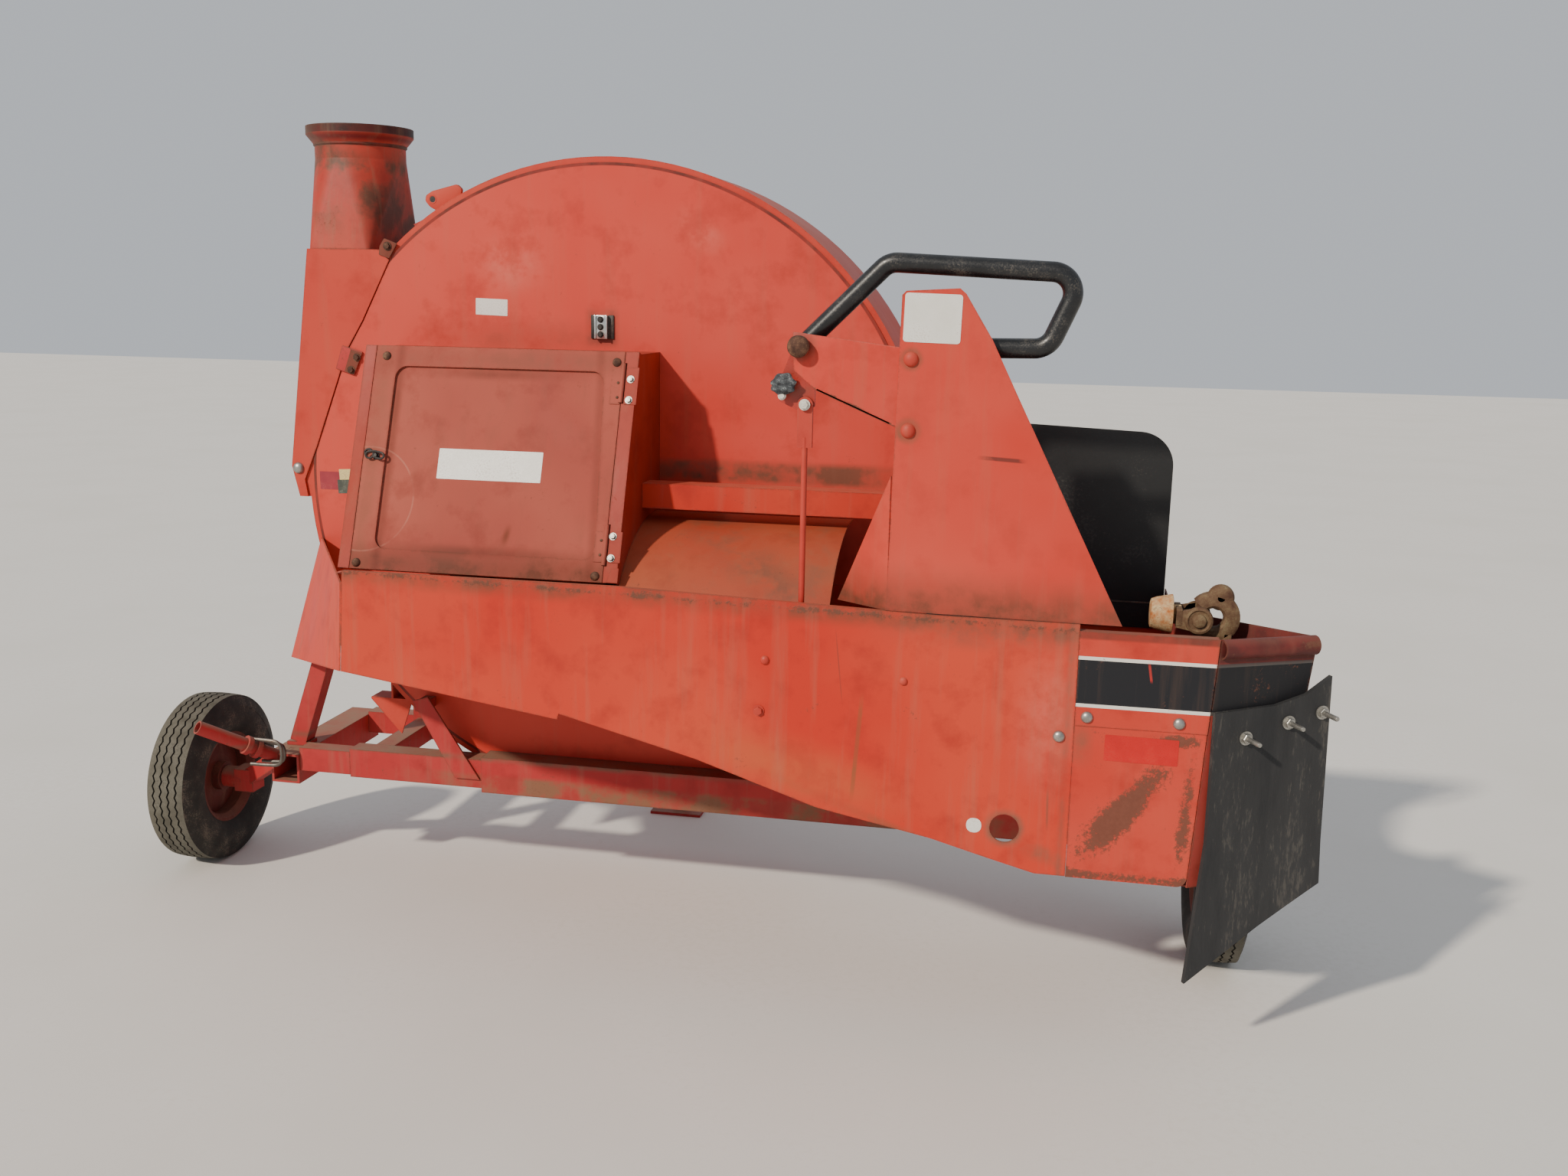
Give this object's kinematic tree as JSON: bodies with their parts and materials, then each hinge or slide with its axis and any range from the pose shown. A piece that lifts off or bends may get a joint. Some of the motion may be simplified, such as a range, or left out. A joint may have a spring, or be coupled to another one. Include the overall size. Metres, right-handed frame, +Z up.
{
  "type": "forage blower",
  "caption": "Forage blower with a paddle fan drum, square-to-round spout, auger trough, feed stop bar, hinged inlet door and two transport wheels.",
  "frame": {"origin": "on the ground, in the middle of the machine's length and depth", "axes": "+X along the trough to its deep end, -Y to the trough and door side, +Y to the hitch and tractor side, +Z up"},
  "size_m": [2.7823, 1.5441, 1.882],
  "materials": {
    "machine_red": "sun-faded gloss enamel, scuffed and dusty",
    "rusty_steel": "rusty",
    "bare_steel": "worn bare steel",
    "cast_red": "painted casting",
    "dark_sheet": "satin black",
    "black_paint": "worn gloss black",
    "tyre_rubber": "dull",
    "wheel_red": "dull enamel",
    "flap_rubber": "dull"
  },
  "bodies": {
    "frame": {"fan_housing": "machine_red", "face_plate": "machine_red", "spout": "machine_red", "rear_bearing": "cast_red", "inlet_box": "machine_red", "left_sheet": "machine_red", "front_skirt": "machine_red", "end_panel": "machine_red", "nose_wall": "machine_red", "trough": "machine_red", "back_sheet": "machine_red", "auger_cover": "machine_red", "tower_panel": "machine_red", "black_sheet": "dark_sheet", "bar_bracket": "machine_red", "shaft_tunnel": "machine_red", "gearbox": "cast_red", "drive_plate": "machine_red", "front_rail": "machine_red", "rail_brace": "machine_red", "rear_rail": "machine_red", "cross_beam_1": "machine_red", "cross_beam_2": "machine_red", "cross_beam_3": "machine_red", "axle_beam": "machine_red", "corner_post": "machine_red", "wheel_leg_left": "machine_red", "wheel_leg_right": "machine_red", "hitch_arm_left": "machine_red", "hitch_arm_right": "machine_red", "hitch_head": "machine_red", "jack_sleeve": "machine_red", "rubber_flap": "flap_rubber"},
    "rotor": {"fan_rotor": "rusty_steel", "fan_shaft": "bare_steel"},
    "auger": {"auger": "rusty_steel"},
    "door": {"inlet_door": "machine_red"},
    "feed_bar": {"feed_bar": "black_paint"},
    "link": {"link_rod": "machine_red"},
    "driveline": {"driveline": "rusty_steel"},
    "wheel_left": {"tyre_left": "tyre_rubber", "rim_left": "wheel_red"},
    "wheel_right": {"tyre_right": "tyre_rubber", "rim_right": "wheel_red"},
    "jack": {"jack_leg": "bare_steel"}
  },
  "joints": [
    {"name": "fan_spin", "type": "hinge", "parent": "frame", "child": "rotor", "pos_m": [-0.2005, -0.0839, 1.04], "axis": [0, 1, 0], "continuous": true},
    {"name": "auger_spin", "type": "hinge", "parent": "frame", "child": "auger", "pos_m": [-0.5855, -0.4859, 0.766], "axis": [0.9892, 0, -0.1465], "continuous": true},
    {"name": "driveline_swing", "type": "hinge", "parent": "frame", "child": "driveline", "pos_m": [1.1445, -0.5739, 0.897], "axis": [0, 0, 1], "range_deg": [-10, 45]},
    {"name": "door_hinge", "type": "hinge", "parent": "frame", "child": "door", "pos_m": [-0.0995, -0.38994, 1.37546], "axis": [0, 0.3411, 0.94], "range_deg": [0, 95]},
    {"name": "feed_bar_pivot", "type": "hinge", "parent": "frame", "child": "feed_bar", "pos_m": [0.3515, -0.6729, 1.408], "axis": [0, 1, 0], "range_deg": [-8, 6]},
    {"name": "link_hinge", "type": "hinge", "parent": "feed_bar", "child": "link", "pos_m": [0.3615, -0.6979, 1.296], "axis": [0, 1, 0], "range_deg": [-8, 10]},
    {"name": "wheel_left_spin", "type": "hinge", "parent": "frame", "child": "wheel_left", "pos_m": [-1.3205, -0.1639, 0.22], "axis": [1, 0, 0], "continuous": true},
    {"name": "wheel_right_spin", "type": "hinge", "parent": "frame", "child": "wheel_right", "pos_m": [1.2625, -0.1689, 0.22], "axis": [1, 0, 0], "continuous": true},
    {"name": "jack_slide", "type": "slide", "parent": "frame", "child": "jack", "axis": [0, 0, 1], "range_m": [0, 0.2]}
  ],
  "couplings": [
    {"joint": "link_hinge", "follows": "feed_bar_pivot", "ratio": -1}
  ]
}
